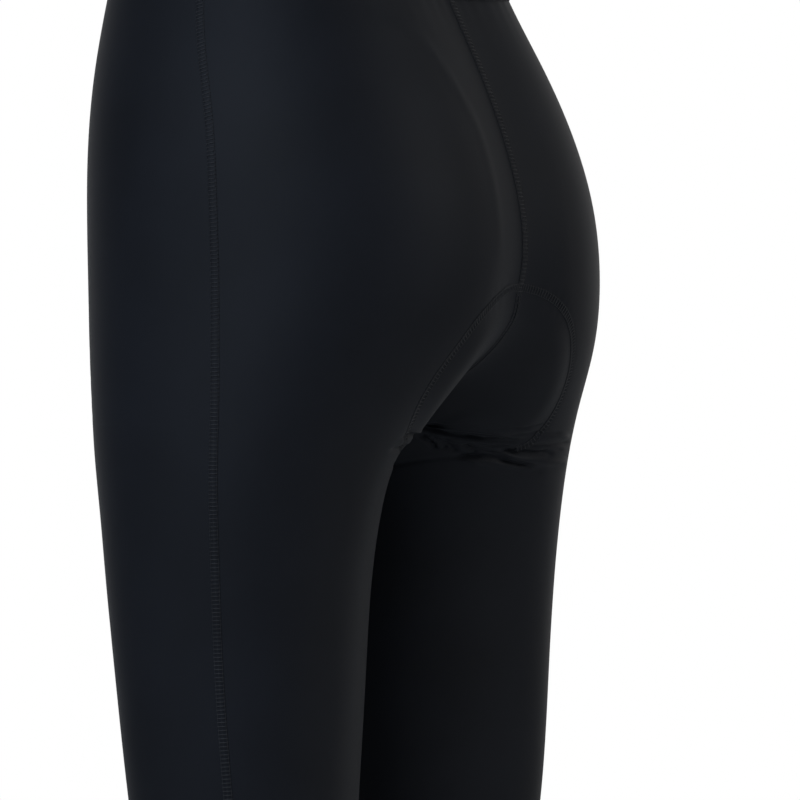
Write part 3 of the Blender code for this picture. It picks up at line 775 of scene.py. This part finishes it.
def stitchRow(path, offset, pitch, height, closed=False, reach=None):
    # places, half lengths and outward directions of a row of stitches beside the path. They
    # lie along it, or across it where a reach is given
    path = resample(path, pitch)[0]
    path = path[:-1] if closed else 0.5 * (path[:-1] + path[1:])
    along, across = seamFrame(path, closed)
    middle, out = overCloth(path + across * offset, np.full(len(path), height))
    half = along * (0.5 * pitch * seams["stitchShare"]) if reach is None else across * reach
    return middle, half, out


def stitches(name, rows, radius):
    # each stitch is a four-sided tube over four rings, whose ends go down into the cloth; all
    # of them are one mesh
    middle, half, out = (np.concatenate(parts) for parts in zip(*rows))
    side = unit(np.cross(half, out))
    up = unit(np.cross(side, half))
    share, size, down = np.array(seams["rings"]).T
    down = down * seams["dip"]
    radius = np.broadcast_to(radius, len(middle))[:, None]
    centre = middle[:, None] + half[:, None] * share[None, :, None] - out[:, None] * down[None, :, None]
    turn = np.pi / 4.0 + np.arange(4) * np.pi / 2.0
    ring = (side[:, None, None] * np.cos(turn)[None, None, :, None]
            + up[:, None, None] * np.sin(turn)[None, None, :, None])
    points = centre[:, :, None] + ring * (size * radius)[:, :, None, None]
    one = np.concatenate((gridQuads(4, 4, wrapColumns=True), ((3, 2, 1, 0), (12, 13, 14, 15))))
    number = np.arange(len(middle))[:, None, None]
    quads = (one[None] + 16 * number).reshape(-1, 4)
    cut, step = seams["threadCut"]
    uv = cutPlaces(np.arange(4)[None, None, :] * radius[..., None],
                   share[None, :, None] * cut + number * step)
    piece = makePiece(name, points, quads, uv, thread, sharp=1.6)
    return piece


def flatlock(name, path, kind, closed=False):
    # the band, its rows of needle stitches and the threads that cross it
    width, offsets = seamLines[kind]
    band = seamBand(name, path, width, closed)
    rows = [stitchRow(path, offset, seams["stitch"], seams["rowRise"] * seams["lap"], closed)
            for offset in offsets]
    rows.append(stitchRow(path, 0.0, seams["cross"],
                          seams["lap"] + seams["crossRise"] * seams["crossRadius"], closed,
                          seams["crossReach"] * width))
    radii = [seams["threadRadius"]] * len(offsets) + [seams["crossRadius"]]
    radius = np.repeat(radii, [len(row[0]) for row in rows])
    return band, stitches(name + "Stitches", rows, radius)


hemEnd = form["hemSeam"] + seamLines["endGap"]
legHeights = np.linspace(form["waistSeam"]["side"] - seamLines["endGap"], hemEnd,
                         seamLines["sidePoints"])
zero = np.zeros(len(legHeights))
sidePath = outlinePoint(legHeights, zero, "back", zero)[0]
innerHeights = np.linspace(crotch - seamLines["underSeat"], hemEnd, seamLines["innerPoints"])
innerX, innerY = sectionArc(innerHeights, "back")
innerPath = np.stack((innerX[:, 0], innerY[:, 0], innerHeights), axis=-1)
for side, flip in flips.items():
    flatlock(side + "SideSeam", sidePath * flip, "side")
    flatlock(side + "Inseam", innerPath * flip, "inner")
flatlock("seatSeam", seatSeam()[0][2:-2], "seat")


def roundPath(heightOf, count):
    # half way round the garment, from the front centre to the back centre, at a height that
    # depends on the place along each half panel
    share = np.linspace(0.0, 1.0, count)
    halves = []
    for end in ("front", "back"):
        z = heightOf(share, end)
        halves.append(outlinePoint(z, share, end, rowLength(z[-1:], end, 0.0))[0])
    return np.concatenate((halves[0][::-1], halves[1][1:]))


def waistHeight(share, end):
    side = form["waistSeam"]["side"]
    return side + (form["waistSeam"][end] - side) * ease(share)


waistHalf = roundPath(waistHeight, seamLines["roundPoints"])
waistPath = np.concatenate((waistHalf, waistHalf[-2:0:-1] * mirror, waistHalf[:1]))
flatlock("waistSeam", waistPath, "waist", closed=True)

# the pad's outline shows outside as one more flatlocked seam, which is lost in the folds
# under the seat between its two stretches
inBack, inFront = padLoop[:padFolds[0]], padLoop[padFolds[1]:]
flatlock(
    "padSeamBack", np.concatenate((inBack[::-1], inBack[1:] * mirror)), "pad")
flatlock(
    "padSeamFront", np.concatenate((inFront, inFront[-2::-1] * mirror)), "pad")

# Waistband: elastic folded into the cloth, finely gathered
waistband = {
    "height": 0.040,
    "columns": 230,
    "gather": 0.00016,
    "gatherPitch": 0.0062,
    # share of the height and depth under the outer face, up the outside and down the inside
    "profile": ((0.0, -0.0002), (0.03, -0.0006), (0.12, -0.0008), (0.26, -0.0010), (0.42, -0.0011),
                (0.58, -0.0011), (0.74, -0.0010), (0.88, -0.0008), (0.95, -0.0006), (0.985, -0.0002),
                (1.0, 0.0006), (0.985, 0.0014), (0.95, 0.0018), (0.74, 0.0019), (0.5, 0.0019),
                (0.26, 0.0019), (0.08, 0.0018), (0.0, 0.0015)),
    "flat": (0.640, 0.041),  # as folded; the strip is cut twice as wide
}
gathers = {"wander": 0.9, "wanderRate": 160.0}  # how unevenly the waistband and hems gather


def bandRing(shape, heightOf):
    # a waistband's or hem's profile carried round the garment: each point is the face at its
    # height, moved inwards by its depth, with a small wave along the way round
    table = np.array(shape["profile"])
    share = np.linspace(0.0, 1.0, shape["columns"])
    weight = np.clip(1.0 - np.abs(table[:, :1] * 2.0 - 1.0) ** 4, 0.0, 1.0)
    halves, runs = [], []
    for end in ("front", "back"):
        z = np.broadcast_to(heightOf(share, end, table[:, :1]), (len(table), len(share)))
        length = rowLength(z[:, -1], end, 0.0)[:, None]
        face, fromCentre = outlinePoint(z, np.broadcast_to(share, z.shape), end, length)
        run = fromCentre.mean(axis=0)
        wander = gathers["wander"] * np.sin(run * gathers["wanderRate"])
        wave = shape["gather"] * np.sin(2.0 * np.pi * run / shape["gatherPitch"] + wander)
        halves.append(face - unit(slopeOf(face)) * (table[:, 1:] - wave * weight)[..., None])
        runs.append(run)
    return halves, runs


def waistbandHeight(share, end, level):
    return waistHeight(share, end) + form["seamGap"] + waistband["height"] * level


def ringPiece(name, halves, runs, whole, shape, material):
    # joins the half outlines, mirrored where the ring goes round the body
    front, back = halves
    half = np.concatenate((front[:, ::-1], back[:, 1:]), axis=1)
    run = np.concatenate((-runs[0][::-1], runs[1][::-1][1:]))
    if whole:
        points = np.concatenate((half, half[:, -2:0:-1] * mirror), axis=1)
        run = np.concatenate((run, run[-2:0:-1]))
    else:
        points, run = half[:, :-1], run[:-1]
    rows, columns = points.shape[:2]
    quads = gridQuads(rows, columns, wrapRows=True, wrapColumns=True)
    levels = np.array(shape["profile"])[:, :1] * shape["height"]
    return makePiece(name, points, quads, cutPlaces(run[None, :], levels), material)


halves, runs = bandRing(waistband, waistbandHeight)
bandPiece = ringPiece("foldedWaistband", halves, runs, True, waistband, elastic)
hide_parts("waistband")
print("waistband:", bandPiece.name)

# Ankle hems: the leg ends turned up once and sewn with two rows. The top edge is a small lip
# over the end of the panels
hem = {
    "bottom": -0.962,
    "height": 0.022,
    "columns": 90,
    "gather": 0.00010,
    "gatherPitch": 0.0080,
    "profile": ((0.0, 0.0006), (0.02, -0.0001), (0.06, -0.0005), (0.25, -0.0006), (0.5, -0.0006),
                (0.75, -0.0006), (1.0, -0.0006), (1.03, -0.0005), (1.037, -0.00035), (1.03, -0.0002),
                (1.0, -0.0002), (0.99, 0.0002), (0.99, 0.0014), (0.96, 0.0018), (0.3, 0.0018),
                (0.04, 0.0016)),
    "flat": (0.190, 0.023),  # as turned up; the cloth under it is the leg's end
    "rows": (-0.0034, -0.0066),  # of stitches, from the seam of the hem
    "rowRise": 0.0006,
    "roundPoints": 120,
}


def hemHeight(share, end, level):
    # the same all the way round
    return hem["bottom"] + hem["height"] * level


halves, runs = bandRing(hem, hemHeight)
for side, flip in flips.items():
    piece = ringPiece(side + "AnkleHem", [h * flip for h in halves], runs, False, hem, knit)
    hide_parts(side + "_hem")
    rows = []
    for drop in hem["rows"]:
        path = roundPath(lambda share, end: np.full(len(share), form["hemSeam"] + drop),
                         hem["roundPoints"])
        rows.append(stitchRow(path * flip, 0.0, seams["stitch"],
                              hem["rowRise"] + 0.5 * seams["threadRadius"], closed=True))
    stitches(side + "HemStitches", rows, seams["threadRadius"])
print("hems: 2, with their stitches")


def padPiece():
    # a crowned closed form between the seat seam's walk lines: thickness is rim plus
    # (middle - rim) * (1 - |across|^4) * sqrt(sin(turn)), less the sewn channels
    turn = np.linspace(0.0, np.pi, pad["rows"] + 1)
    low, high = pad["outline"][0][0] + pad["shortBy"][0], pad["outline"][-1][0] - pad["shortBy"][1]
    place = low + (high - low) * (1.0 - np.cos(turn)) / 2.0
    width = np.interp(place, *padCurve(pad["curvePoints"])) - pad["narrowBy"]
    across = np.linspace(0.0, 1.0, pad["columns"] + 1)
    distance = width[:, None] * across[None, :]
    face = walkAcross(np.broadcast_to(place[:, None], distance.shape), distance)
    out = unit(slopeOf(face))
    swell = (1.0 - across[None, :] ** 4) * np.sin(turn)[:, None] ** 0.5
    thick = pad["rim"] + (pad["middle"] - pad["rim"]) * swell
    channel = np.exp(-(distance / pad["channelWidth"]) ** 2)
    for line in pad["crossChannels"]:
        bent = place[:, None] - line - pad["crossSlant"] * distance
        channel = np.maximum(channel, np.exp(-(bent / pad["channelWidth"]) ** 2))
    thick = thick - pad["channel"] * channel * swell
    layers = {}
    for side in flips:
        # the pad goes in under the creases of its side
        base = np.full(face.shape[:-1], pad["wall"] + pad["clearance"])
        for end in ("back", "front"):
            mask = (face[..., 1] > 0.0) == (end == "back")
            part = face[mask]
            sunk = creaseDepth(part[..., 2], lengthFromCentre(part, end), side, end)
            base[mask] += np.maximum(sunk, 0.0)
        layers[side] = [face - out * base[..., None], face - out * (base + thick)[..., None]]
    outer, inner = (np.concatenate((right[:, :0:-1] * mirror, left), axis=1)
                    for right, left in zip(layers["right"], layers["left"]))
    widths = np.concatenate((-distance[:, :0:-1], distance), axis=1)
    return shellPiece("seatPadding", outer, inner, cutPlaces(widths, place[:, None]), brushed)


padding = padPiece()
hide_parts("seat_pad")
print("seat padding:", len(padding.data.polygons), "faces")

# Studio: pale floor, white surround, soft light
studio = {
    "floorDrop": 0.085,      # below the hems, where the soles would be
    "floorSize": 12.0,
    "floorColour": (0.86, 0.86, 0.85),
    "floorRough": 0.9,
    "surroundSeen": 1.0,
    "surroundLight": 0.022,
    "surroundColour": (1.0, 0.99, 0.98),
    "wallLight": 0.85,       # the white wall behind the garment
    "wallReach": (0.54, 1.0),  # cosine from its middle at which it starts and is full
    # towards the camera, to the right of the picture, up, size, power, colour
    "lights": {
        "softKey": (2.0, -1.8, 1.6, 2.0, 42.5, (0.74, 0.85, 1.0)),
        "rightFill": (0.75, 2.45, 1.4, 1.6, 20.0, (0.95, 0.96, 0.96)),
        "backRim": (-1.9, 1.6, 0.3, 1.6, 1.8, (1.0, 0.98, 0.94)),
    },
}
camera = {"azimuth": 122.0, "distance": 3.0, "sideways": 0.0374, "height": -0.248,
          "lens": 238.1, "sensor": 36.0, "clip": (0.05, 60.0)}

turned = np.radians(camera["azimuth"])
towards = np.array((np.sin(turned), -np.cos(turned), 0.0))
toRight = np.array((np.cos(turned), np.sin(turned), 0.0))

floorHeight = hem["bottom"] - studio["floorDrop"]
bpy.ops.mesh.primitive_plane_add(size=studio["floorSize"], location=(0.0, 0.0, floorHeight))
floor = bpy.context.object
floor.name = "paleFloor"
floorPaint = bpy.data.materials.new("palePaint")
floorPaint.use_nodes = True
feed(floorPaint.node_tree, floorPaint.node_tree.nodes["Principled BSDF"], {
    "Base Color": (*studio["floorColour"], 1.0), "Roughness": studio["floorRough"]})
floor.data.materials.append(floorPaint)

surround = bpy.data.worlds.new("whiteSurround")
bpy.context.scene.world = surround
surround.use_nodes = True
tree = surround.node_tree
tree.nodes.clear()
seen = addNode(tree, "ShaderNodeBackground", (-200, 100), {
    "Color": (1.0, 1.0, 1.0, 1.0), "Strength": studio["surroundSeen"]})
# the light grows from surroundLight to wallLight towards the direction behind the garment
heading = addNode(tree, "ShaderNodeTexCoord", (-1000, -100))
behind = addNode(tree, "ShaderNodeVectorMath", (-800, -100), {
    0: heading.outputs["Generated"], 1: tuple(-towards)}, operation="DOT_PRODUCT")
wall = addNode(tree, "ShaderNodeMapRange", (-600, -100), {
    "Value": behind.outputs["Value"],
    "From Min": studio["wallReach"][0], "From Max": studio["wallReach"][1],
    "To Min": studio["surroundLight"], "To Max": studio["wallLight"],
}, interpolation_type="SMOOTHSTEP")
lit = addNode(tree, "ShaderNodeBackground", (-200, -100), {
    "Color": (*studio["surroundColour"], 1.0), "Strength": wall.outputs["Result"]})
ray = addNode(tree, "ShaderNodeLightPath", (-500, 200))
blendBoth = addNode(tree, "ShaderNodeMixShader", (100, 0), {
    "Fac": ray.outputs["Is Camera Ray"], 1: lit.outputs["Background"],
    2: seen.outputs["Background"]})
addNode(tree, "ShaderNodeOutputWorld", (300, 0), {"Surface": blendBoth.outputs["Shader"]})


def placeFacing(name, data, at, facing):
    # a light or the camera, turned to a direction
    item = bpy.data.objects.new(name, data)
    item.location = at
    item.rotation_mode = "QUATERNION"
    item.rotation_quaternion = facing.to_track_quat("-Z", "Y")
    bpy.context.collection.objects.link(item)
    return item


aim = Vector((0.0, 0.0, camera["height"]))
for name, (near, right, up, size, power, colour) in studio["lights"].items():
    lamp = bpy.data.lights.new(name, "AREA")
    lamp.shape = "DISK"
    lamp.size = size
    lamp.energy = power
    lamp.color = colour
    at = aim + Vector(towards * near + toRight * right) + Vector((0.0, 0.0, up))
    placeFacing(name, lamp, at, aim - at)

view = bpy.data.cameras.new("photoView")
view.lens = camera["lens"]
view.sensor_width = camera["sensor"]
view.clip_start, view.clip_end = camera["clip"]
at = aim + Vector(towards * camera["distance"] + toRight * camera["sideways"])
bpy.context.scene.camera = placeFacing("photoView", view, at, Vector(-towards))
bpy.context.scene.view_settings.view_transform = "Standard"
print("studio: floor, surround,", len(studio["lights"]), "lights and camera")
